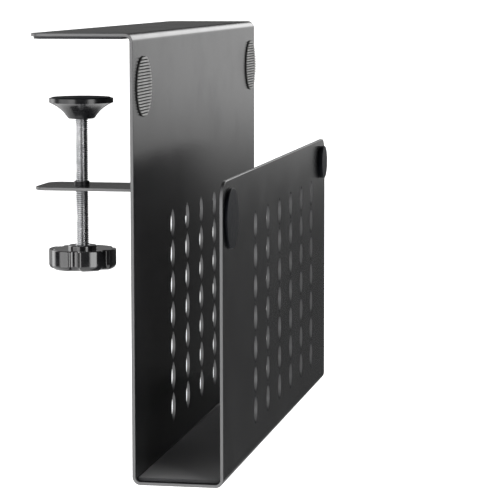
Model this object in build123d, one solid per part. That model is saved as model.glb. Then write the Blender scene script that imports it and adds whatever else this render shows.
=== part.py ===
from build123d import *
import os

# Desk-edge computer holder: a bent, perforated steel sheet with two screw clamps.
#
# Frame, in millimetres: +Z is up, +X points away from the desk towards the tray,
# and +Y runs along the desk's edge. The origin is the centre of the underside of
# the flange's pad, which is the face that rests on the desk top.
# The "near" end is at -Y and the "far" end at +Y.

# Bent sheet
sheet_thickness = 2.0
holder_width = 395.0
holder_height = 274.0
flange_reach = 65.0
tray_gap = 52.5
front_height = 185.6
bend_inner_radius = 3.0
flange_corner_radius = 10.0
front_corner_radius = 12.0
sheet_edge_round = 0.35

# Perforation with pointed ovals, the same rows through the back and the front plate
hole_height = 19.5
hole_width = 11.4
hole_rows = 7
hole_columns = 6
hole_row_pitch = 20.05
hole_column_pitch = 44.65
first_column_from_near = 107.4
lowest_hole_height = 28.8

# Flange pad and tray pad
flange_pad_thickness = 1.5
flange_pad_inset = 1.5
tray_pad_thickness = 2.0
tray_pad_side_gap = 0.5
tray_pad_end_inset = 3.5
tray_pad_relief = 1.45
pad_bend_gap = 1.5
pad_edge_round = 0.4

# Ribbed grip discs on the back plate
grip_diameter = 36.8
grip_base = 0.5
grip_rib_height = 0.9
grip_rib_pitch = 1.9
grip_rib_width = 1.1
grip_near_from_end = 26.6
grip_far_from_end = 18.2
grip_below_top = 32.6

# Smooth bumper discs on the front plate's outer face
bumper_near_diameter = 37.0
bumper_near_thickness = 2.3
bumper_near_from_end = 22.1
bumper_near_below_top = 23.5
bumper_near_edge_round = 0.5
bumper_far_diameter = 24.0
bumper_far_thickness = 4.0
bumper_far_from_end = 24.0
bumper_far_below_top = 16.4
bumper_far_edge_round = 1.2

# Clamp arm, welded to the back plate
desk_thickness = 36.0
arm_width = 41.0
arm_thickness = 2.0
arm_corner_radius = 8.5
arm_below_top = 93.5
arm_from_end = 8.0
weld_leg = 1.6
weld_end_inset = 1.0

# Clamp screw, an M8 with a 1.25 mm pitch, and the tapped collar it turns in
screw_diameter = 8.0
screw_from_plate = 37.4
screw_running_clearance = 0.05
screw_chamfer = 0.8
collar_wall = 0.7
collar_above_arm = 2.5
collar_below_arm = 0.6
collar_chamfer = 0.25

# Foot cup, its pad and its washer
foot_diameter = 39.4
foot_rim_height = 2.7
foot_neck_diameter = 17.0
foot_neck_chamfer = 0.6
foot_flare_reach = 3.0
foot_flare_rise = 4.4
foot_height = 13.1
foot_wall = 2.6
foot_pad_thickness = 1.5
foot_pad_proud = 0.6
foot_pad_clearance = 0.2
spigot_diameter = 5.5
spigot_socket_depth = 4.0
spigot_socket_clearance = 0.35
spigot_head_diameter = 7.4
spigot_head_height = 1.2
thrust_gap = 0.1
washer_diameter = 12.0
washer_thickness = 1.0
washer_clearance = 0.2

# Star knob
knob_diameter = 41.5
knob_thickness = 12.6
knob_boss_diameter = 17.7
knob_boss_height = 2.1
knob_boss_round = 0.8
knob_top = 93.2
knob_lobes = 6
knob_notch_radius = 3.4
knob_notch_offset = 0.7
knob_lobe_round = 1.6
knob_lower_round = 3.5
knob_upper_round = 0.8
knob_recess_diameter = 30.0
knob_recess_depth = 1.2
insert_diameter = 12.0
insert_length = 11.0
insert_chamfer = 0.5

# Levels, upwards from the desk top
flange_bottom = flange_pad_thickness
flange_top = flange_bottom + sheet_thickness
tray_underside = flange_top - holder_height
tray_floor = tray_underside + sheet_thickness
front_top = tray_underside + front_height
foot_top = -desk_thickness
arm_top = flange_top - arm_below_top
arm_bottom = arm_top - arm_thickness
knob_level = foot_top - knob_top

# The collar is a thin wall round the screw's thread
collar_diameter = screw_diameter + 2 * collar_wall

# How closely a place has to agree when edges and faces are picked
tolerance = 1e-6

# Places outwards from the middle of the flange pad
bend_outer_radius = bend_inner_radius + sheet_thickness
flange_pad_length = (flange_reach - flange_pad_inset - pad_bend_gap
                     - sheet_thickness - bend_inner_radius)
flange_tip = -flange_pad_length / 2 - flange_pad_inset
tray_face = flange_tip + flange_reach
rear_face = tray_face - sheet_thickness
front_inner = tray_face + tray_gap
front_outer = front_inner + sheet_thickness
screw_x = rear_face - screw_from_plate
near_end = -holder_width / 2
clamp_places = {
    "near": near_end + arm_from_end + arm_width / 2,
    "far": -near_end - arm_from_end - arm_width / 2,
}


def corners_at(points, places):
    """The vertices of a sketch that lie at the given (x, y) places."""
    return [v for v in points
            if any(abs(v.X - x) < tolerance and abs(v.Y - y) < tolerance for x, y in places)]


def holder_body():
    """The one bent sheet: flange, back plate, tray floor and front plate, perforated."""
    outline = make_face(Polyline(
        (flange_tip, flange_top), (tray_face, flange_top), (tray_face, tray_floor),
        (front_inner, tray_floor), (front_inner, front_top), (front_outer, front_top),
        (front_outer, tray_underside), (rear_face, tray_underside),
        (rear_face, flange_bottom), (flange_tip, flange_bottom), close=True))
    outer = [(tray_face, flange_top), (front_outer, tray_underside), (rear_face, tray_underside)]
    inner = [(tray_face, tray_floor), (front_inner, tray_floor), (rear_face, flange_bottom)]
    outline = fillet(corners_at(outline.vertices(), outer), bend_outer_radius)
    outline = fillet(corners_at(outline.vertices(), inner), bend_inner_radius)
    sheet = extrude(Plane.XZ * outline, holder_width / 2, both=True)
    sheet = fillet(sheet.edges().filter_by(Axis.Z).group_by(Axis.X)[0], flange_corner_radius)
    front_edges = sheet.edges().filter_by(Axis.X).filter_by(
        lambda e: abs(e.center().Z - front_top) < tolerance)
    sheet = fillet(front_edges, front_corner_radius)
    ends = sheet.faces().filter_by(Axis.Y).filter_by(
        lambda f: abs(f.center().Y) > -near_end - tolerance)
    sheet = fillet(ends.edges(), sheet_edge_round)
    return sheet - perforation()


def pointed_oval():
    """The outline of one hole: two equal arcs that meet at its upper and lower tips."""
    tip = hole_height / 2
    side = hole_width / 2
    right = ThreePointArc((0, -tip), (side, 0), (0, tip))
    left = ThreePointArc((0, tip), (-side, 0), (0, -tip))
    return make_face(Curve() + [right, left])


def perforation():
    """Pointed-oval prisms that cut both plates, their long axis upright."""
    middle_y = near_end + first_column_from_near + (hole_columns - 1) * hole_column_pitch / 2
    middle_z = tray_underside + lowest_hole_height + (hole_rows - 1) * hole_row_pitch / 2
    grid = GridLocations(hole_column_pitch, hole_row_pitch, hole_columns, hole_rows)
    holes = Sketch() + grid * pointed_oval()
    start = Plane((rear_face - sheet_thickness, middle_y, middle_z), x_dir=(0, 1, 0), z_dir=(1, 0, 0))
    return extrude(start * holes, front_outer - rear_face + 2 * sheet_thickness)


def flange_pad():
    """The thin pad under the flange, which follows its outline inside its edge."""
    width = holder_width - 2 * flange_pad_inset
    pad = Pos(0, 0, flange_pad_thickness / 2) * Box(flange_pad_length, width, flange_pad_thickness)
    tip_edges = pad.edges().filter_by(Axis.Z).group_by(Axis.X)[0]
    return fillet(tip_edges, flange_corner_radius - flange_pad_inset)


def tray_pad():
    """The soft pad on the tray's floor; its lower long edges clear the bends."""
    width = tray_gap - 2 * tray_pad_side_gap
    length = holder_width - 2 * tray_pad_end_inset
    middle = ((tray_face + front_inner) / 2, 0, tray_floor + tray_pad_thickness / 2)
    pad = Pos(*middle) * Box(width, length, tray_pad_thickness)
    relief_width = bend_inner_radius - tray_pad_side_gap + pad_bend_gap
    pad -= [relief(middle[0] + side * width / 2, -side * relief_width, length) for side in (-1, 1)]
    return fillet(pad.edges().filter_by(Axis.Y).group_by(Axis.Z)[-1], pad_edge_round)


def relief(edge_x, inwards, length):
    """A wedge along a lower long edge of the tray pad."""
    wedge = make_face(Polyline((edge_x, tray_floor), (edge_x + inwards, tray_floor),
                               (edge_x, tray_floor + tray_pad_relief), close=True))
    return extrude(Plane.XZ * wedge, length / 2, both=True)


def disc_on(face_x, y, z, diameter, thickness):
    """A plain disc on a plate, with its axis along +X."""
    return Pos(face_x + thickness / 2, y, z) * Rot(0, 90, 0) * Cylinder(diameter / 2, thickness)


def grip_disc(y):
    """A ribbed disc near a top corner of the back plate; its ribs run along the desk."""
    z = flange_top - grip_below_top
    disc = disc_on(tray_face, y, z, grip_diameter, grip_base + grip_rib_height)
    groove_height = grip_rib_pitch - grip_rib_width
    count = int(grip_diameter / grip_rib_pitch) + 1
    groove_x = tray_face + grip_base + grip_rib_height
    groove = Box(2 * grip_rib_height, grip_diameter + 2, groove_height)
    grooves = [Pos(groove_x, y, z + (i - (count - 1) / 2) * grip_rib_pitch) * groove
               for i in range(count)]
    return disc - grooves


def bumper_disc(y, below_top, diameter, thickness, edge_round):
    """A smooth disc on the front plate's outer face, with a rounded rim."""
    disc = disc_on(front_outer, y, front_top - below_top, diameter, thickness)
    rim = disc.edges().group_by(Axis.X)[-1]
    return fillet(rim, edge_round)


def clamp_arm(y):
    """The flat arm under the desk, with its weld beads along the back plate."""
    length = rear_face - flange_tip
    middle = (rear_face - length / 2, y, arm_top - arm_thickness / 2)
    arm = Pos(*middle) * Box(length, arm_width, arm_thickness)
    arm = fillet(arm.edges().filter_by(Axis.Z).group_by(Axis.X)[0], arm_corner_radius)
    arm = fillet(arm.faces().group_by(Axis.X)[0].edges().filter_by(Axis.Y), sheet_edge_round)
    arm -= Pos(screw_x, y, middle[2]) * Cylinder(collar_diameter / 2, 2 * arm_thickness)
    for level, up in ((arm_top, 1), (arm_bottom, -1)):
        bead = make_face(Polyline((rear_face, level), (rear_face - weld_leg, level),
                                  (rear_face, level + up * weld_leg), close=True))
        arm += Pos(0, y, 0) * extrude(Plane.XZ * bead, arm_width / 2 - weld_end_inset, both=True)
    return arm


def clamp_collar(y):
    """The tapped collar that is set in the arm; its bore is at the thread's crests."""
    length = collar_above_arm + arm_thickness + collar_below_arm
    middle = arm_bottom - collar_below_arm + length / 2
    collar = Pos(screw_x, y, middle) * Cylinder(collar_diameter / 2, length)
    rims = collar.edges().filter_by(GeomType.CIRCLE)
    collar = chamfer(rims.group_by(Axis.Z)[-1], collar_chamfer)
    bore = screw_diameter / 2 + screw_running_clearance
    return collar - Pos(screw_x, y, middle) * Cylinder(bore, 2 * length)


def clamp_screw(y):
    """The M8 screw: a spigot with a peened head in the foot, and its lower end in the knob."""
    shoulder = foot_top - foot_height + spigot_socket_depth - thrust_gap
    head_seat = foot_floor() + washer_thickness + thrust_gap
    bottom = knob_level + knob_boss_height - insert_length
    shaft_length = shoulder - bottom
    spigot_length = head_seat - shoulder
    base = (Align.CENTER, Align.CENTER, Align.MIN)
    shaft = Pos(0, 0, bottom) * Cylinder(screw_diameter / 2, shaft_length, align=base)
    shaft = chamfer(shaft.edges().filter_by(GeomType.CIRCLE), screw_chamfer)
    shaft += Pos(0, 0, shoulder) * Cylinder(spigot_diameter / 2, spigot_length, align=base)
    head = Pos(0, 0, head_seat) * Cylinder(spigot_head_diameter / 2, spigot_head_height, align=base)
    head = chamfer(head.edges().group_by(Axis.Z)[-1], screw_chamfer / 2)
    return Pos(screw_x, y, 0) * (shaft + head)


def foot_floor():
    """Level of the floor inside the foot cup, which the washer lies on."""
    head_room = washer_thickness + thrust_gap + spigot_head_height + thrust_gap
    return foot_top - foot_pad_thickness - head_room


def foot_cup(y):
    """The flared cup on the screw's end, open at the top for its pad."""
    rim_radius = foot_diameter / 2
    neck_radius = foot_neck_diameter / 2
    rim_top = foot_top - foot_pad_proud
    rim_bottom = rim_top - foot_rim_height
    bottom = foot_top - foot_height
    pad_seat = foot_top - foot_pad_thickness
    pad_radius = rim_radius - foot_wall / 2
    head_room = washer_diameter / 2 + washer_clearance
    socket = screw_diameter / 2 + spigot_socket_clearance
    bore = spigot_diameter / 2 + screw_running_clearance
    socket_top = bottom + spigot_socket_depth
    neck_edge = (neck_radius, bottom + foot_neck_chamfer)
    flare_middle = (neck_radius + foot_flare_reach, bottom + foot_flare_rise)
    flare = ThreePointArc((rim_radius, rim_bottom), flare_middle, neck_edge)
    rest = Polyline(neck_edge, (neck_radius - foot_neck_chamfer, bottom), (socket, bottom),
                    (socket, socket_top), (bore, socket_top), (bore, foot_floor()),
                    (head_room, foot_floor()), (head_room, pad_seat), (pad_radius, pad_seat),
                    (pad_radius, rim_top), (rim_radius, rim_top), (rim_radius, rim_bottom))
    section = make_face(Curve() + [flare, rest])
    return Pos(screw_x, y, 0) * revolve(Plane.XZ * section, Axis.Z)


def foot_pad(y):
    """The rubber disc in the foot cup, a little proud of its rim."""
    radius = foot_diameter / 2 - foot_wall / 2 - foot_pad_clearance
    pad = Pos(screw_x, y, foot_top - foot_pad_thickness / 2) * Cylinder(radius, foot_pad_thickness)
    return fillet(pad.edges().group_by(Axis.Z)[-1], pad_edge_round)


def foot_washer(y):
    """The washer under the screw's peened head."""
    hole = spigot_diameter / 2 + washer_clearance
    washer = Cylinder(washer_diameter / 2, washer_thickness) - Cylinder(hole, 2 * washer_thickness)
    return Pos(screw_x, y, foot_floor() + washer_thickness / 2) * washer


def star_knob(y):
    """The six-lobed knob, with a boss on top and a shallow recess below."""
    notch_centre = knob_diameter / 2 + knob_notch_offset
    star = Circle(knob_diameter / 2)
    star -= PolarLocations(notch_centre, knob_lobes, start_angle=-90) * Circle(knob_notch_radius)
    star = fillet(star.vertices(), knob_lobe_round)
    body = Pos(0, 0, knob_level - knob_thickness) * extrude(star, knob_thickness)
    body = fillet(body.edges().group_by(Axis.Z)[0], knob_lower_round)
    body = fillet(body.edges().group_by(Axis.Z)[-1], knob_upper_round)
    base = (Align.CENTER, Align.CENTER, Align.MIN)
    boss = Cylinder(knob_boss_diameter / 2, knob_boss_height, align=base)
    boss = fillet(boss.edges().group_by(Axis.Z)[-1], knob_boss_round)
    body += Pos(0, 0, knob_level) * boss
    recess = Cylinder(knob_recess_diameter / 2, knob_recess_depth, align=base)
    body -= Pos(0, 0, knob_level - knob_thickness) * recess
    top = (Align.CENTER, Align.CENTER, Align.MAX)
    socket = Cylinder(insert_diameter / 2, insert_length, align=top)
    body -= Pos(0, 0, knob_level + knob_boss_height) * socket
    return Pos(screw_x, y, 0) * body


def knob_insert(y):
    """The threaded insert moulded into the knob."""
    top = (Align.CENTER, Align.CENTER, Align.MAX)
    insert = Cylinder(insert_diameter / 2, insert_length, align=top)
    insert -= Cylinder(screw_diameter / 2, 3 * insert_length)
    mouth = insert.edges().group_by(Axis.Z)[-1].sort_by(SortBy.RADIUS)[0]
    insert = chamfer(mouth, insert_chamfer)
    return Pos(screw_x, y, knob_level + knob_boss_height) * insert


def clamp_pieces(end, y):
    """Every piece of one clamp, by node name."""
    return {
        f"clamp_arm_{end}": clamp_arm(y),
        f"clamp_collar_{end}": clamp_collar(y),
        f"clamp_screw_{end}": clamp_screw(y),
        f"foot_cup_{end}": foot_cup(y),
        f"foot_pad_{end}": foot_pad(y),
        f"foot_washer_{end}": foot_washer(y),
        f"star_knob_{end}": star_knob(y),
        f"knob_insert_{end}": knob_insert(y),
    }


def all_pieces():
    """Every piece of the holder, by node name."""
    pieces = {
        "holder_body": holder_body(),
        "flange_pad": flange_pad(),
        "tray_pad": tray_pad(),
        "grip_disc_near": grip_disc(near_end + grip_near_from_end),
        "grip_disc_far": grip_disc(-near_end - grip_far_from_end),
        "bumper_disc_near": bumper_disc(
            near_end + bumper_near_from_end, bumper_near_below_top,
            bumper_near_diameter, bumper_near_thickness, bumper_near_edge_round),
        "bumper_disc_far": bumper_disc(
            -near_end - bumper_far_from_end, bumper_far_below_top,
            bumper_far_diameter, bumper_far_thickness, bumper_far_edge_round),
    }
    for end, y in clamp_places.items():
        pieces.update(clamp_pieces(end, y))
    return pieces


os.makedirs("parts", exist_ok=True)
for name, piece in all_pieces().items():
    export_step(piece, f"parts/{name}.step")
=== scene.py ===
"""The finished look of a desk-edge computer holder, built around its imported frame.

The bent sheet, the clamp arms, the foot cups and the knobs keep their own meshes and
get their finishes here. The soft pads, the ribbed and smooth discs and the threaded
screws are modelled here, each in the place of its plain solid. Lengths are in metres.
"""

import logging
import math
from dataclasses import dataclass
from enum import Enum
from typing import Any, Iterable, Mapping, Optional, Sequence

import bmesh
import bpy
from mathutils import Matrix, Vector, noise


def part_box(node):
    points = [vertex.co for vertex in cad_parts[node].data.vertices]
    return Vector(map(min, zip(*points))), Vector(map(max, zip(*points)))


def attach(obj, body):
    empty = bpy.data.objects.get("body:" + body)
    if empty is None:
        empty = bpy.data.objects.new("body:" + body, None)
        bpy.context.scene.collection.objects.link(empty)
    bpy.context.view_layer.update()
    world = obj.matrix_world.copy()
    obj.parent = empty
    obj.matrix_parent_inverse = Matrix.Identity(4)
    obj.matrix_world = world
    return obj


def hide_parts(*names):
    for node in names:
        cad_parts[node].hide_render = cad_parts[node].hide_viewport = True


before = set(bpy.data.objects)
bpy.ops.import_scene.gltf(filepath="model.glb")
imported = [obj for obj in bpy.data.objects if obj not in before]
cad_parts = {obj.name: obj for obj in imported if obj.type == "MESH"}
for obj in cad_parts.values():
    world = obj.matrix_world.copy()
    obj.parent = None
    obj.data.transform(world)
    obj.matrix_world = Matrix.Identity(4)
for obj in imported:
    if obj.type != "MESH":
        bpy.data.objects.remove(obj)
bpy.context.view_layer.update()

log = logging.getLogger("holder")
MM = 0.001


class End(Enum):
    """The two ends of the holder, which name its repeated pieces."""

    NEAR = "near"
    FAR = "far"


@dataclass(frozen=True)
class Block:
    """The box that a node fills at rest."""

    low: Vector
    high: Vector

    @classmethod
    def of(cls, node: str) -> "Block":
        """Reads a node's box from the frame.

        Args:
            node: The node's name.

        Returns:
            Its box.
        """
        low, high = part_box(node)
        return cls(Vector(low), Vector(high))

    @property
    def centre(self) -> Vector:
        """The middle of the box."""
        return (self.low + self.high) / 2

    @property
    def size(self) -> Vector:
        """The box's three sides."""
        return self.high - self.low


# ---------------------------------------------------------------- shader nodes


class Signal:
    """A shader socket that takes part in Python arithmetic."""

    def __init__(self, shader: "Nodes", socket: bpy.types.NodeSocket) -> None:
        """Wraps a socket of a node."""
        self.shader = shader
        self.socket = socket

    def _with(self, operation: str, first: Any, second: Any) -> "Signal":
        """Adds a Math node.

        Args:
            operation: The Math node's operation.
            first: The first value or signal.
            second: The second value or signal.

        Returns:
            The node's result.
        """
        return self.shader.add("ShaderNodeMath", {"operation": operation}, {0: first, 1: second})

    def __add__(self, other: Any) -> "Signal":
        """Adds a value or signal."""
        return self._with("ADD", self, other)

    __radd__ = __add__

    def __mul__(self, other: Any) -> "Signal":
        """Multiplies by a value or signal."""
        return self._with("MULTIPLY", self, other)

    __rmul__ = __mul__


class Nodes:
    """A node tree that nodes are added to by type."""

    def __init__(self, tree: bpy.types.NodeTree) -> None:
        """Keeps the tree."""
        self.tree = tree

    def add(self, kind: str, settings: Optional[Mapping[str, Any]] = None,
            inputs: Optional[Mapping[Any, Any]] = None, output: Any = 0) -> Signal:
        """Adds a node of any kind.

        Args:
            kind: The node's type.
            settings: Its properties.
            inputs: A value or a signal for each socket, by name or number.
            output: The output wanted, by name or number.

        Returns:
            That output.
        """
        node = self.tree.nodes.new(kind)
        for key, value in (settings or {}).items():
            setattr(node, key, value)
        for key, value in (inputs or {}).items():
            self.feed(node.inputs[key], value)
        return Signal(self, node.outputs[output])

    def feed(self, socket: bpy.types.NodeSocket, value: Any) -> None:
        """Links a signal to a socket, or sets its value."""
        if isinstance(value, Signal):
            self.tree.links.new(value.socket, socket)
        else:
            socket.default_value = value

    def band(self, signal: Signal, low: float, high: float,
             bottom: float = 0.0, top: float = 1.0) -> Signal:
        """Maps a range of a signal onto another, held at both ends."""
        return self.add("ShaderNodeMapRange", {"clamp": True}, {
            "Value": signal, "From Min": low, "From Max": high,
            "To Min": bottom, "To Max": top}, "Result")


class Shader(Nodes):
    """One material and its node tree, with a Principled surface."""

    def __init__(self, name: str, constants: Mapping[str, Any]) -> None:
        """Makes the material.

        Args:
            name: The material's name.
            constants: Values for sockets that are the same all over.
        """
        self.material = bpy.data.materials.new(name)
        self.material.use_nodes = True
        super().__init__(self.material.node_tree)
        self.surface = self.tree.nodes["Principled BSDF"]
        for socket, value in constants.items():
            self.surface.inputs[socket].default_value = value

    def place(self) -> Signal:
        """The point on the object, in its own coordinates."""
        return self.add("ShaderNodeTexCoord", output="Object")

    def noise(self, scale: float, detail: float = 2.0, roughness: float = 0.5,
              stretch: Optional[Sequence[float]] = None) -> Signal:
        """A noise pattern over the object.

        Args:
            scale: Features per metre.
            detail: Octaves.
            roughness: Weight of the finer octaves.
            stretch: Scale along each axis, for a grain.

        Returns:
            The pattern, from 0 to 1.
        """
        at = self.place()
        if stretch is not None:
            at = self.add("ShaderNodeMapping", {}, {"Vector": at, "Scale": stretch}, "Vector")
        return self.add("ShaderNodeTexNoise", {}, {
            "Vector": at, "Scale": scale, "Detail": detail, "Roughness": roughness}, "Fac")

    def mix(self, mask: Any, first: Sequence[float], second: Sequence[float]) -> Signal:
        """Blends two colours by a mask."""
        return self.add("ShaderNodeMix", {"data_type": "RGBA"}, {
            "Factor": mask, 6: (*first, 1.0) if not isinstance(first, Signal) else first,
            7: (*second, 1.0) if not isinstance(second, Signal) else second}, 2)

    def bump(self, height: Signal, distance: float, strength: float = 1.0,
             under: Optional[Signal] = None) -> Signal:
        """Turns a height into a normal.

        Args:
            height: The height pattern, from 0 to 1.
            distance: The depth in metres at height 1.
            strength: How much of it shows.
            under: A coarser normal beneath it.

        Returns:
            The normal.
        """
        inputs = {"Height": height, "Distance": distance, "Strength": strength}
        if under is not None:
            inputs["Normal"] = under
        return self.add("ShaderNodeBump", {}, inputs, "Normal")

    def finish(self, **varying: Any) -> bpy.types.Material:
        """Feeds the surface's varying sockets.

        Args:
            varying: Signals by socket name, with underscores for spaces.

        Returns:
            The finished material.
        """
        for name, value in varying.items():
            self.feed(self.surface.inputs[name.replace("_", " ")], value)
        return self.material


# -------------------------------------------------------------------- finishes


@dataclass(frozen=True)
class PowderCoat:
    """Satin black powder coat with a fine orange peel, a painted highlight on faces that point
    along Y and painted shade at the holes' tips.

    Both bands are of the squared Y part of the surface's direction.
    """

    name: str = "powder_coat"
    dark: tuple[float, float, float] = (0.008, 0.0082, 0.0087)
    light: tuple[float, float, float] = (0.014, 0.0143, 0.0150)
    # Painted shade: near black for surfaces that lean partly towards Y, mostly the hole walls
    # towards their tips.
    painted_hole_shade: tuple[float, float, float] = (0.002, 0.002, 0.0022)
    # Painted highlight: pale grey for faces that point along Y, the sheet's end edges and the
    # hole walls, for the glint they catch from the front light.
    painted_edge_highlight: tuple[float, float, float] = (0.125, 0.125, 0.127)
    shade_band: tuple[float, float] = (0.02, 0.1)
    highlight_band: tuple[float, float] = (0.25, 0.8)
    roughness: float = 0.21
    peel: float = 900.0
    grain: float = 3600.0
    peel_depth: float = 0.010 * MM
    grain_depth: float = 0.003 * MM

    def dress(self) -> bpy.types.Material:
        """Makes the material."""
        shader = Shader(self.name, {"Specular IOR Level": 0.5})
        peel = shader.noise(self.peel, 1.0)
        grain = shader.noise(self.grain, 2.0, 0.6)
        marks = shader.band(shader.noise(22.0, 4.0, 0.6), 0.42, 0.68)
        speck = shader.band(grain, 0.55, 0.75)
        tone = marks * 0.6 + speck * 0.4
        normal = shader.bump(grain, self.grain_depth, 1.0, shader.bump(peel, self.peel_depth))
        facing = shader.add("ShaderNodeTexCoord", output="Normal")
        along = shader.add("ShaderNodeSeparateXYZ", {}, {"Vector": facing}, "Y")
        # Painted highlight mask: faces that point along Y get the pale grey.
        highlight_mask = shader.band(along * along, *self.highlight_band)
        face = shader.mix(tone, self.dark, self.light)
        # Painted shade: surfaces that lean partly towards Y, mostly the hole walls towards their
        # tips, are painted near black.
        shade_mask = shader.band(along * along, *self.shade_band)
        turned = shader.mix(shade_mask, face, self.painted_hole_shade)
        # Base colour: random tone, with painted shade and then the painted highlight laid over
        # it.
        return shader.finish(
            Base_Color=shader.mix(highlight_mask, turned, self.painted_edge_highlight),
            Roughness=self.roughness + marks * 0.04 + speck * 0.03 + highlight_mask * 0.08, Normal=normal)


@dataclass(frozen=True)
class Foam:
    """Closed-cell foam: matt charcoal with fine pores."""

    name: str = "pad_foam"
    dark: tuple[float, float, float] = (0.022, 0.022, 0.024)
    light: tuple[float, float, float] = (0.060, 0.060, 0.064)
    cells: float = 2600.0
    cell_depth: float = 0.05 * MM

    def dress(self) -> bpy.types.Material:
        """Makes the material."""
        shader = Shader(self.name, {"Specular IOR Level": 0.3, "Sheen Weight": 0.25,
                                    "Sheen Roughness": 0.5})
        pores = shader.add("ShaderNodeTexVoronoi", {"feature": "F1"}, {
            "Vector": shader.place(), "Scale": self.cells}, "Distance")
        cloud = shader.noise(160.0, 3.0, 0.6)
        tone = shader.band(pores, 0.1, 0.7) * 0.65 + cloud * 0.35
        normal = shader.bump(pores, self.cell_depth, 0.8)
        return shader.finish(
            Base_Color=shader.mix(tone, self.dark, self.light),
            Roughness=0.82 + cloud * 0.12, Normal=normal)


@dataclass(frozen=True)
class GripRubber:
    """The ribbed discs' soft grey rubber: grey crests, a little worn in patches, with painted
    shade (near black) in the grooves.
    """

    name: str = "grip_rubber"
    # Painted shade: near black for the grooves between the ribs.
    groove_shade: tuple[float, float, float] = (0.007, 0.007, 0.007)
    crest: tuple[float, float, float] = (0.30, 0.30, 0.295)
    crest_level: float = 0.0
    groove_level: float = 0.0

    def dress(self) -> bpy.types.Material:
        """Makes the material; the crests are told from the grooves by their height, and the
        grooves get the painted shade.
        """
        shader = Shader(self.name, {"Specular IOR Level": 0.15})
        height = shader.add("ShaderNodeSeparateXYZ", {}, {"Vector": shader.place()}, "X")
        fuzz = shader.noise(1800.0, 3.0, 0.7)
        # Painted shade: the colour darkens from the crests down to near black in the grooves, by
        # height.
        proud = shader.band(height + fuzz * (0.25 * MM), self.groove_level, self.crest_level)
        worn = shader.noise(90.0, 3.0, 0.6)
        tone = proud * shader.band(worn, 0.25, 0.6, 0.75, 1.0)
        normal = shader.bump(fuzz, 0.08 * MM, 0.7)
        return shader.finish(
            Base_Color=shader.mix(tone, self.groove_shade, self.crest),
            Roughness=0.72 + fuzz * 0.2, Normal=normal)


@dataclass(frozen=True)
class SmoothRubber:
    """The smooth discs' rubber: black, semi-gloss, with a faint bloom."""

    name: str = "smooth_rubber"
    dark: tuple[float, float, float] = (0.004, 0.0045, 0.006)
    bloom: tuple[float, float, float] = (0.009, 0.010, 0.012)
    roughness: float = 0.40

    def dress(self) -> bpy.types.Material:
        """Makes the material."""
        shader = Shader(self.name, {"Specular IOR Level": 0.06})
        bloom = shader.band(shader.noise(140.0, 4.0, 0.6), 0.4, 0.7)
        fine = shader.noise(3000.0, 2.0)
        return shader.finish(
            Base_Color=shader.mix(bloom, self.dark, self.bloom),
            Roughness=self.roughness + bloom * 0.12,
            Normal=shader.bump(fine, 0.012 * MM, 0.8))


@dataclass(frozen=True)
class MouldedPlastic:
    """Black moulded plastic, from glossy to a fine spark-eroded texture."""

    name: str
    roughness: float
    texture_depth: float
    coat: float = 0.0
    specular: float = 0.5
    dark: tuple[float, float, float] = (0.006, 0.006, 0.007)
    light: tuple[float, float, float] = (0.014, 0.014, 0.015)

    def dress(self) -> bpy.types.Material:
        """Makes the material."""
        shader = Shader(self.name, {"Specular IOR Level": self.specular,
                                    "Coat Weight": self.coat, "Coat Roughness": 0.06})
        smear = shader.band(shader.noise(70.0, 4.0, 0.65), 0.42, 0.72)
        texture = shader.noise(2800.0, 2.0, 0.6)
        flow = shader.noise(240.0, 1.0)
        normal = shader.bump(texture, self.texture_depth, 1.0, shader.bump(flow, 0.02 * MM, 0.5))
        return shader.finish(
            Base_Color=shader.mix(smear, self.dark, self.light),
            Roughness=self.roughness + smear * 0.09, Normal=normal)


@dataclass(frozen=True)
class ZincSteel:
    """Bright zinc-plated steel with fine turning marks round the axis."""

    name: str = "zinc_steel"
    bright: tuple[float, float, float] = (0.62, 0.62, 0.63)
    dull: tuple[float, float, float] = (0.40, 0.405, 0.42)
    roughness: float = 0.17

    def dress(self) -> bpy.types.Material:
        """Makes the material."""
        shader = Shader(self.name, {"Metallic": 1.0})
        stain = shader.band(shader.noise(190.0, 4.0, 0.65), 0.4, 0.7)
        turning = shader.noise(1.0, 2.0, 0.6, (500.0, 500.0, 9000.0))
        return shader.finish(
            Base_Color=shader.mix(stain, self.bright, self.dull),
            Roughness=self.roughness + stain * 0.14 + turning * 0.08,
            Normal=shader.bump(turning, 0.008 * MM, 0.8))


@dataclass(frozen=True)
class BlackOxide:
    """Black oxide on turned steel, rubbed a little in patches."""

    name: str = "black_oxide"
    dark: tuple[float, float, float] = (0.020, 0.020, 0.022)
    rubbed: tuple[float, float, float] = (0.09, 0.09, 0.092)

    def dress(self) -> bpy.types.Material:
        """Makes the material."""
        shader = Shader(self.name, {"Metallic": 0.55})
        rub = shader.band(shader.noise(420.0, 4.0, 0.7), 0.5, 0.75)
        turning = shader.noise(1.0, 2.0, 0.6, (400.0, 400.0, 7000.0))
        return shader.finish(
            Base_Color=shader.mix(rub, self.dark, self.rubbed),
            Roughness=0.38 + rub * 0.15, Normal=shader.bump(turning, 0.01 * MM, 0.8))


# ------------------------------------------------------------------ mesh tools


def finish_mesh(bm: bmesh.types.BMesh, name: str, smooth: bool = True) -> bpy.types.Object:
    """Turns a bmesh into a piece that sits at the origin.

    Args:
        bm: The finished mesh, in place. It is freed.
        name: The piece's name.
        smooth: Whether its faces shade smoothly.

    Returns:
        The new object.
    """
    bmesh.ops.remove_doubles(bm, verts=bm.verts, dist=1e-6)
    bmesh.ops.recalc_face_normals(bm, faces=bm.faces)
    for face in bm.faces:
        face.smooth = smooth
    mesh = bpy.data.meshes.new(name)
    bm.to_mesh(mesh)
    bm.free()
    piece = bpy.data.objects.new(name, mesh)
    bpy.context.scene.collection.objects.link(piece)
    return piece


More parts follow.
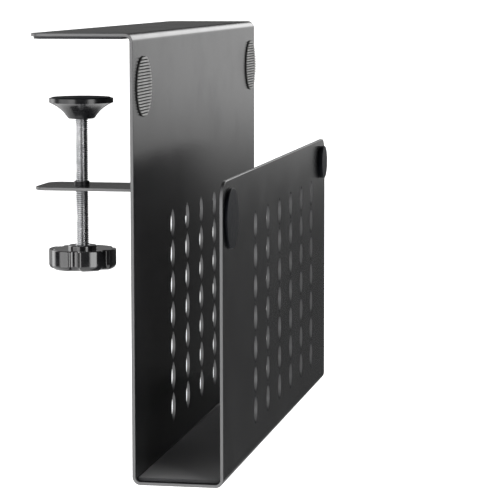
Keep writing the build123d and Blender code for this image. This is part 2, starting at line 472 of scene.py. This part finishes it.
def spun(profile: Iterable[tuple[float, float]], steps: int = 96) -> bmesh.types.BMesh:
    """Spins an outline about Z into a closed body.

    Args:
        profile: Radius and height of each point, from the axis back to the axis.
        steps: Segments round the body.

    Returns:
        The body as a bmesh.
    """
    bm = bmesh.new()
    points = [bm.verts.new((radius, 0.0, height)) for radius, height in profile]
    edges = [bm.edges.new(pair) for pair in zip(points, points[1:])]
    bmesh.ops.spin(bm, geom=points + edges, cent=(0, 0, 0), axis=(0, 0, 1),
                   angle=math.tau, steps=steps, use_merge=True)
    bmesh.ops.remove_doubles(bm, verts=bm.verts, dist=1e-7)
    return bm


def rounded(points: Sequence[tuple[float, float]], radius: float,
            segments: int = 4) -> list[tuple[float, float]]:
    """Rounds the inner corners of an outline with arcs.

    Args:
        points: The outline's corners.
        radius: The largest corner radius; short sides get less.
        segments: Steps in each arc.

    Returns:
        The outline with its arcs.
    """
    result = [points[0]]
    for before, corner, after in zip(points, points[1:], points[2:]):
        here = Vector(corner)
        back, ahead = Vector(before) - here, Vector(after) - here
        reach = min(radius, back.length * 0.45, ahead.length * 0.45)
        start, stop = here + back.normalized() * reach, here + ahead.normalized() * reach
        for step in range(segments + 1):
            t = step / segments
            spot = start * (1 - t) ** 2 + here * (2 * t * (1 - t)) + stop * t ** 2
            result.append((spot.x, spot.y))
    result.append(points[-1])
    return result


def dress(piece: bpy.types.Object, material: bpy.types.Material) -> None:
    """Gives every slot of a piece or node one material."""
    if not piece.material_slots:
        piece.data.materials.append(material)
    for place in piece.material_slots:
        place.material = material


def bevel_edges(bm: bmesh.types.BMesh, edges: Sequence[bmesh.types.BMEdge],
                width: float, segments: int) -> None:
    """Rounds edges of a bmesh.

    Args:
        bm: The mesh.
        edges: The edges to round.
        width: The round's width.
        segments: Its steps.
    """
    bmesh.ops.bevel(bm, geom=list(edges), offset=width, offset_type="OFFSET", affect="EDGES",
                    segments=segments, profile=0.5, material=-1, clamp_overlap=True)


@dataclass(frozen=True)
class Stand:
    """Where a new piece belongs."""

    body: str
    node: str
    slot: str

    def settle(self, piece: bpy.types.Object, material: bpy.types.Material) -> None:
        """Dresses a piece, sets it on its body and puts it in its node's place.

        Args:
            piece: The new piece.
            material: Its finish.
        """
        dress(piece, material)
        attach(piece, self.body)
        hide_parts(self.node)
        log.info("%s rides on %s for %s", piece.name, self.body, self.node)


# ---------------------------------------------------------------- sub-assemblies


@dataclass
class FoamPad:
    """A flat foam pad with soft edges and a faintly uneven top."""

    stand: Stand
    corner_radius: float
    edge_round: float
    unevenness: float
    all_corners: bool
    cells_along: int = 120
    cells_across: int = 18

    def build(self, material: bpy.types.Material) -> None:
        """Makes the pad.

        Args:
            material: Its foam.
        """
        block = Block.of(self.stand.node)
        bm = bmesh.new()
        bmesh.ops.create_grid(bm, x_segments=self.cells_across, y_segments=self.cells_along,
                              size=0.5)
        bmesh.ops.scale(bm, vec=(block.size.x, block.size.y, 1.0), verts=bm.verts)
        self._round_corners(bm, block)
        bmesh.ops.translate(bm, vec=(block.centre.x, block.centre.y, block.low.z), verts=bm.verts)
        made = bmesh.ops.extrude_face_region(bm, geom=bm.faces[:])["geom"]
        top = [v for v in made if isinstance(v, bmesh.types.BMVert)]
        bmesh.ops.translate(bm, vec=(0, 0, block.size.z), verts=top)
        self._undulate(top, block)
        rim = [e for e in bm.edges if e.is_manifold and e.calc_face_angle(0) > math.radians(50)]
        bevel_edges(bm, rim, self.edge_round, 3)
        piece = finish_mesh(bm, self.stand.node + "_foam")
        self.stand.settle(piece, material)

    def _round_corners(self, bm: bmesh.types.BMesh, block: Block) -> None:
        """Draws the corners of the flat grid in onto arcs.

        Args:
            bm: The flat grid, centred on the origin.
            block: The pad's box.
        """
        reach = block.size.xy / 2 - Vector((self.corner_radius, self.corner_radius))
        for vert in bm.verts:
            over = Vector((abs(vert.co.x) - reach.x, abs(vert.co.y) - reach.y))
            wanted = self.all_corners or vert.co.x < 0
            if over.x > 0 and over.y > 0 and wanted:
                square = max(over.x, over.y)
                over = over.normalized() * square
                vert.co.x = math.copysign(reach.x + over.x, vert.co.x)
                vert.co.y = math.copysign(reach.y + over.y, vert.co.y)

    def _undulate(self, verts: Iterable[bmesh.types.BMVert], block: Block) -> None:
        """Lowers the top here and there, as foam settles.

        Args:
            verts: The top's vertices.
            block: The pad's box.
        """
        for vert in verts:
            wave = noise.noise(vert.co * 14.0) * 0.6 + noise.noise(vert.co * 45.0) * 0.4
            vert.co.z = block.high.z - self.unevenness * (0.5 + 0.5 * wave)


@dataclass
class GripDisc:
    """A soft disc with rounded horizontal ribs, stuck to the back plate."""

    stand: Stand
    base: float = 0.5 * MM
    rib_pitch: float = 1.9 * MM
    rib_width: float = 1.15 * MM
    rib_round: float = 0.32 * MM
    rim_segments: int = 120

    def build(self, finish: GripRubber) -> None:
        """Makes the disc.

        Args:
            finish: Its rubber, which is told the crests' and grooves' places.
        """
        block = Block.of(self.stand.node)
        radius = block.size.z / 2
        bm = bmesh.new()
        bmesh.ops.create_circle(bm, cap_ends=True, segments=self.rim_segments, radius=radius)
        bmesh.ops.rotate(bm, cent=(0, 0, 0), matrix=Matrix.Rotation(math.radians(90), 3, "Y"),
                         verts=bm.verts)
        ribs = self._rib_places(radius)
        for middle in ribs:
            for side in (-1, 1):
                bmesh.ops.bisect_plane(bm, geom=bm.verts[:] + bm.edges[:] + bm.faces[:],
                                       plane_co=(0, 0, middle + side * self.rib_width / 2),
                                       plane_no=(0, 0, 1))
        self._raise(bm, bm.faces[:], self.base)
        for middle in ribs:
            crest = [f for f in bm.faces if f.normal.x > 0.9 or f.normal.x < -0.9]
            crest = [f for f in crest if abs(f.calc_center_median().x - self.base) < 1e-7
                     and abs(f.calc_center_median().z - middle) < self.rib_width / 2]
            if crest:
                self._raise(bm, crest, block.size.x - self.base)
        tops = {e for e in bm.edges if all(abs(v.co.x - block.size.x) < 1e-7 for v in e.verts)}
        bevel_edges(bm, list(tops), self.rib_round, 3)
        bmesh.ops.translate(bm, vec=(block.low.x, block.centre.y, block.centre.z), verts=bm.verts)
        piece = finish_mesh(bm, self.stand.node + "_ribbed", smooth=False)
        # The painted shade in the grooves fades in between these two heights.
        levels = GripRubber(finish.name + self.stand.node[-5:], finish.groove_shade, finish.crest,
                            block.high.x - 0.15 * MM, block.low.x + self.base + 0.1 * MM)
        self.stand.settle(piece, levels.dress())

    def _rib_places(self, radius: float) -> list[float]:
        """The height of each rib's middle, above the disc's centre."""
        count = int((2 * radius - self.rib_width) / self.rib_pitch) + 1
        return [(i - (count - 1) / 2) * self.rib_pitch for i in range(count)]

    @staticmethod
    def _raise(bm: bmesh.types.BMesh, faces: Sequence[bmesh.types.BMFace], height: float) -> None:
        """Extrudes faces along +X.

        Args:
            bm: The mesh.
            faces: The faces to raise.
            height: How far.
        """
        made = bmesh.ops.extrude_face_region(bm, geom=list(faces), use_keep_orig=False)["geom"]
        verts = [v for v in made if isinstance(v, bmesh.types.BMVert)]
        bmesh.ops.translate(bm, vec=(height, 0, 0), verts=verts)
        bm.normal_update()


@dataclass
class BumperDisc:
    """A smooth disc with a rounded rim and a slightly domed face."""

    stand: Stand
    rim_round: float
    dome: float = 0.12 * MM

    def build(self, material: bpy.types.Material) -> None:
        """Makes the disc.

        Args:
            material: Its rubber.
        """
        block = Block.of(self.stand.node)
        radius, thickness = block.size.z / 2, block.size.x
        face = [(radius * t, thickness - self.dome * t * t) for t in (0.0, 0.35, 0.65, 0.85)]
        rim = thickness - self.dome
        corner = rounded([(radius * 0.9, rim), (radius, rim), (radius, 0.0)], self.rim_round, 6)
        bm = spun(face + corner + [(0.0, 0.0)])
        bmesh.ops.rotate(bm, cent=(0, 0, 0), matrix=Matrix.Rotation(math.radians(90), 3, "Y"),
                         verts=bm.verts)
        bmesh.ops.translate(bm, vec=(block.low.x, block.centre.y, block.centre.z), verts=bm.verts)
        self.stand.settle(finish_mesh(bm, self.stand.node + "_smooth"), material)


@dataclass
class ClampScrew:
    """The clamp screw, with a true helical thread, its spigot and its peened head."""

    stand: Stand
    pitch: float = 1.25 * MM
    thread_depth: float = 0.72 * MM
    crest_share: float = 0.30
    root_share: float = 0.14
    steps_per_turn: int = 40
    spigot_radius: float = 2.75 * MM
    spigot_length: float = 6.4 * MM
    head_height: float = 1.2 * MM
    head_radius: float = 3.7 * MM

    def build(self, material: bpy.types.Material) -> None:
        """Makes the screw.

        Args:
            material: Its plated steel.
        """
        block = Block.of(self.stand.node)
        crest = block.size.x / 2
        shoulder = block.high.z - self.spigot_length - self.head_height
        bm = self._thread(block.low.z, shoulder, crest)
        self._add_spigot(bm, shoulder, block.high.z)
        bmesh.ops.translate(bm, vec=(block.centre.x, block.centre.y, 0), verts=bm.verts)
        self.stand.settle(finish_mesh(bm, self.stand.node + "_threaded"), material)

    def _thread(self, low: float, high: float, crest: float) -> bmesh.types.BMesh:
        """Winds the thread's profile up the shaft and cuts its ends square.

        Args:
            low: Level of the lower end.
            high: Level of the upper end.
            crest: Radius at the thread's crests.

        Returns:
            The closed threaded shaft.
        """
        root = crest - self.thread_depth
        flat = self.pitch * self.crest_share / 2
        root_flat = self.pitch * self.root_share / 2
        bm = bmesh.new()
        heights = [0.0, root_flat, self.pitch / 2 - flat, self.pitch / 2 + flat,
                   self.pitch - root_flat, self.pitch]
        radii = [root, root, crest, crest, root, root]
        points = [bm.verts.new((r, 0.0, low - self.pitch + z)) for r, z in zip(radii, heights)]
        edges = [bm.edges.new(pair) for pair in zip(points, points[1:])]
        bmesh.ops.spin(bm, geom=points + edges, cent=(0, 0, 0), axis=(0, 0, 1),
                       dvec=(0, 0, self.pitch / self.steps_per_turn),
                       angle=math.tau, steps=self.steps_per_turn, use_merge=False)
        reach = self.pitch
        while reach < high - low + 2 * self.pitch:
            copy = bmesh.ops.duplicate(bm, geom=bm.verts[:] + bm.edges[:] + bm.faces[:])["geom"]
            bmesh.ops.translate(bm, vec=(0, 0, reach),
                                verts=[v for v in copy if isinstance(v, bmesh.types.BMVert)])
            reach *= 2
        bmesh.ops.remove_doubles(bm, verts=bm.verts, dist=1e-6)
        for level, outwards in ((low, -1), (high, 1)):
            bmesh.ops.bisect_plane(bm, geom=bm.verts[:] + bm.edges[:] + bm.faces[:],
                                   plane_co=(0, 0, level), plane_no=(0, 0, outwards),
                                   clear_outer=True)
            rim = [e for e in bm.edges if e.is_boundary
                   and all(abs(v.co.z - level) < 1e-7 for v in e.verts)]
            bmesh.ops.contextual_create(bm, geom=rim)
        return bm

    def _add_spigot(self, bm: bmesh.types.BMesh, low: float, high: float) -> None:
        """Adds the turned-down spigot and its head as one closed shell.

        Args:
            bm: The mesh to add to.
            low: Level of the shoulder.
            high: Level of the head's top.
        """
        seat = high - self.head_height
        outline = rounded([(0.0, high), (self.head_radius, high), (self.head_radius, seat),
                           (self.spigot_radius, seat), (self.spigot_radius, low - 0.2 * MM),
                           (0.0, low - 0.2 * MM)], 0.35 * MM, 3)
        extra = spun(outline, 48)
        shell = bpy.data.meshes.new("spigot")
        extra.to_mesh(shell)
        extra.free()
        bm.from_mesh(shell)
        bpy.data.meshes.remove(shell)


@dataclass
class FootPad:
    """The rubber disc in a foot cup, with rings moulded in its top."""

    stand: Stand
    ring_count: int = 4
    ring_depth: float = 0.22 * MM
    rim_share: float = 1.2
    mouth_share: float = 0.16
    floor_share: float = 0.08

    def build(self, material: bpy.types.Material) -> None:
        """Makes the pad.

        Args:
            material: Its rubber.
        """
        block = Block.of(self.stand.node)
        radius, top, low = block.size.x / 2, block.high.z, block.low.z
        pitch = radius / (self.ring_count + self.rim_share)
        mouth, floor = self.mouth_share * pitch, self.floor_share * pitch
        outline = [(0.0, top)]
        for ring in range(1, self.ring_count + 1):
            at = ring * pitch
            outline += [(at - mouth, top), (at - floor, top - self.ring_depth),
                        (at + floor, top - self.ring_depth), (at + mouth, top)]
        outline += [(radius, top), (radius, low), (0.0, low)]
        bm = spun(rounded(outline, 0.35 * MM, 3))
        bmesh.ops.translate(bm, vec=(block.centre.x, block.centre.y, 0), verts=bm.verts)
        piece = finish_mesh(bm, self.stand.node + "_rubber")
        self.stand.settle(piece, material)


@dataclass
class Clamp:
    """One screw clamp: arm, collar, screw, foot and knob."""

    end: End
    coat: bpy.types.Material
    oxide: bpy.types.Material
    zinc: bpy.types.Material
    foot_plastic: bpy.types.Material
    knob_plastic: bpy.types.Material
    rubber: bpy.types.Material

    def build(self) -> None:
        """Models and dresses the clamp."""
        end = self.end.value
        finishes = {
            "clamp_arm": self.coat, "clamp_collar": self.oxide, "foot_cup": self.foot_plastic,
            "foot_washer": self.zinc, "star_knob": self.knob_plastic, "knob_insert": self.zinc}
        for node, material in finishes.items():
            dress(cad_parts[f"{node}_{end}"], material)
            log.info("%s_%s dressed in %s", node, end, material.name)
        ClampScrew(Stand(f"screw_{end}", f"clamp_screw_{end}", "steel")).build(self.zinc)
        FootPad(Stand(f"foot_{end}", f"foot_pad_{end}", "foot_rubber")).build(self.rubber)


@dataclass
class Sheet:
    """The bent sheet, its pads and the discs on its plates."""

    coat: bpy.types.Material
    foam: bpy.types.Material
    rubber: bpy.types.Material
    body: str = "holder"

    def build(self) -> None:
        """Models and dresses the sheet and what is stuck to it."""
        dress(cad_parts["holder_body"], self.coat)
        FoamPad(Stand(self.body, "flange_pad", "pad_foam"), 8.5 * MM, 0.3 * MM, 0.0,
                False).build(self.foam)
        FoamPad(Stand(self.body, "tray_pad", "pad_foam"), 1.2 * MM, 0.5 * MM, 0.25 * MM,
                True).build(self.foam)
        for end in End:
            GripDisc(Stand(self.body, f"grip_disc_{end.value}", "grip")).build(GripRubber())
        for end, rim_round in ((End.NEAR, 0.5 * MM), (End.FAR, 1.2 * MM)):
            BumperDisc(Stand(self.body, f"bumper_disc_{end.value}", "bumper"), rim_round).build(
                self.rubber)


# ----------------------------------------------------------------------- studio


@dataclass(frozen=True)
class Glow:
    """A soft-edged patch of the studio's surroundings that gives light.

    Azimuths are in degrees from +X towards +Y, heights are the sine of the elevation.
    """

    azimuths: tuple[float, float]
    heights: tuple[float, float]
    level: float
    azimuth_softness: float = 4.0
    height_softness: float = 0.05

    def shine(self, sky: Nodes, azimuth: Signal, height: Signal) -> Signal:
        """The light that the patch gives in each direction.

        Args:
            sky: The world's nodes.
            azimuth: The direction's azimuth.
            height: The direction's height.

        Returns:
            Its level there.
        """
        result = self._window(sky, azimuth, self.azimuths, self.azimuth_softness)
        return result * self._window(sky, height, self.heights, self.height_softness) * self.level

    @staticmethod
    def _window(sky: Nodes, signal: Signal, ends: tuple[float, float], softness: float) -> Signal:
        """A value of 1 between two ends, which fades to 0 over a softness.

        Args:
            sky: The world's nodes.
            signal: What is tested.
            ends: The low and high ends.
            softness: The width of each fade.

        Returns:
            The window.
        """
        low, high, half = ends[0], ends[1], softness / 2
        rise = sky.band(signal, low - half, low + half)
        return rise * sky.band(signal, high - half, high + half, 1.0, 0.0)


@dataclass
class Studio:
    """The floor, the soft surrounding light and the camera."""

    floor_level: float = -0.74
    floor_size: float = 120.0
    camera_place: tuple[float, float, float] = (0.3622, -1.5527, 0.03692)
    camera_turn: float = 10.70
    camera_tilt: float = 6.69
    camera_roll: float = -0.08
    camera_lens: float = 167.68
    sensor: float = 36.0
    clip_start: float = 0.05
    clip_end: float = 300.0
    dim: float = 0.07
    glows: tuple[Glow, ...] = (
        Glow((40.0, 90.0), (-0.068, 0.5), 0.78, 5.0, 0.035),
        Glow((40.0, 90.0), (0.07, 0.45), 1.6, 4.0, 0.05),
        Glow((-50.0, -8.0), (-0.35, 0.65), 3.8, 6.0, 0.1),
        Glow((-160.0, -122.0), (-0.4, 0.7), 2.0, 6.0, 0.1),
        Glow((-122.0, -98.0), (-0.35, 0.4), 3.0, 4.0, 0.1),
        Glow((100.0, 116.0), (0.0, 0.35), 0.10, 3.0, 0.04),
        Glow((150.0, 176.0), (-0.3, 0.6), 2.8, 10.0, 0.1),
        Glow((116.0, 150.0), (-0.3, 0.6), 0.9, 6.0, 0.1),
        Glow((-190.0, 190.0), (-1.1, -0.30), 1.0, 4.0, 0.12),
        Glow((-190.0, 190.0), (0.55, 1.1), 0.16, 4.0, 0.2),
    )

    def build(self) -> None:
        """Sets up the whole studio."""
        self._floor()
        self._sky()
        self._camera()
        bpy.context.scene.view_settings.view_transform = "Standard"

    def _floor(self) -> None:
        """Lays the pale floor."""
        bm = bmesh.new()
        bmesh.ops.create_grid(bm, x_segments=1, y_segments=1, size=self.floor_size)
        bmesh.ops.translate(bm, vec=(0, 0, self.floor_level), verts=bm.verts)
        floor = finish_mesh(bm, "floor", smooth=False)
        shader = Shader("pale_floor", {"Base Color": (0.9, 0.9, 0.9, 1.0), "Roughness": 0.9,
                                       "Emission Color": (1.0, 1.0, 1.0, 1.0),
                                       "Emission Strength": 0.8})
        dress(floor, shader.material)
        floor.visible_glossy = False

    def _sky(self) -> None:
        """Makes the surroundings: white to the eye, dim but for their glowing patches."""
        world = bpy.data.worlds.new("studio")
        world.use_nodes = True
        bpy.context.scene.world = world
        sky = Nodes(world.node_tree)
        direction = sky.add("ShaderNodeTexCoord", output="Generated")
        x, y, height = (sky.add("ShaderNodeSeparateXYZ", {}, {0: direction}, axis)
                        for axis in range(3))
        azimuth = sky.add("ShaderNodeMath", {"operation": "ARCTAN2"}, {0: y, 1: x})
        azimuth = azimuth * math.degrees(1.0)
        light = sky.add("ShaderNodeMath", {"operation": "ADD"}, {0: self.dim, 1: 0.0})
        for glow in self.glows:
            light = light + glow.shine(sky, azimuth, height)
        seen = sky.add("ShaderNodeLightPath", output="Is Camera Ray")
        level = sky.add("ShaderNodeMix", {"data_type": "FLOAT"}, {0: seen, 2: light, 3: 1.0}, 0)
        sky.feed(world.node_tree.nodes["Background"].inputs["Strength"], level)
        sky.feed(world.node_tree.nodes["Background"].inputs["Color"], (1.0, 1.0, 1.0, 1.0))

    def _camera(self) -> None:
        """Places the camera."""
        data = bpy.data.cameras.new("camera")
        data.lens = self.camera_lens
        data.sensor_width = self.sensor
        data.clip_start = self.clip_start
        data.clip_end = self.clip_end
        camera = bpy.data.objects.new("camera", data)
        camera.location = self.camera_place
        turns = ((self.camera_turn, "Z"), (90.0 - self.camera_tilt, "X"), (self.camera_roll, "Z"))
        pose = Matrix.Identity(3)
        for angle, axis in turns:
            pose = pose @ Matrix.Rotation(math.radians(angle), 3, axis)
        camera.rotation_euler = pose.to_euler()
        bpy.context.scene.collection.objects.link(camera)
        bpy.context.scene.camera = camera


def main() -> None:
    """Builds the holder and its studio."""
    logging.basicConfig(level=logging.INFO, format="%(name)s: %(message)s")
    coat = PowderCoat().dress()
    zinc = ZincSteel().dress()
    oxide = BlackOxide().dress()
    foam = Foam().dress()
    rubber = SmoothRubber().dress()
    foot_plastic = MouldedPlastic("foot_plastic", 0.22, 0.008 * MM, 0.2).dress()
    knob_plastic = MouldedPlastic("knob_plastic", 0.12, 0.002 * MM, 0.8, 0.7).dress()
    Sheet(coat, foam, rubber).build()
    for end in End:
        Clamp(end, coat, oxide, zinc, foot_plastic, knob_plastic, rubber).build()
    Studio().build()


if __name__ == "__main__":
    main()
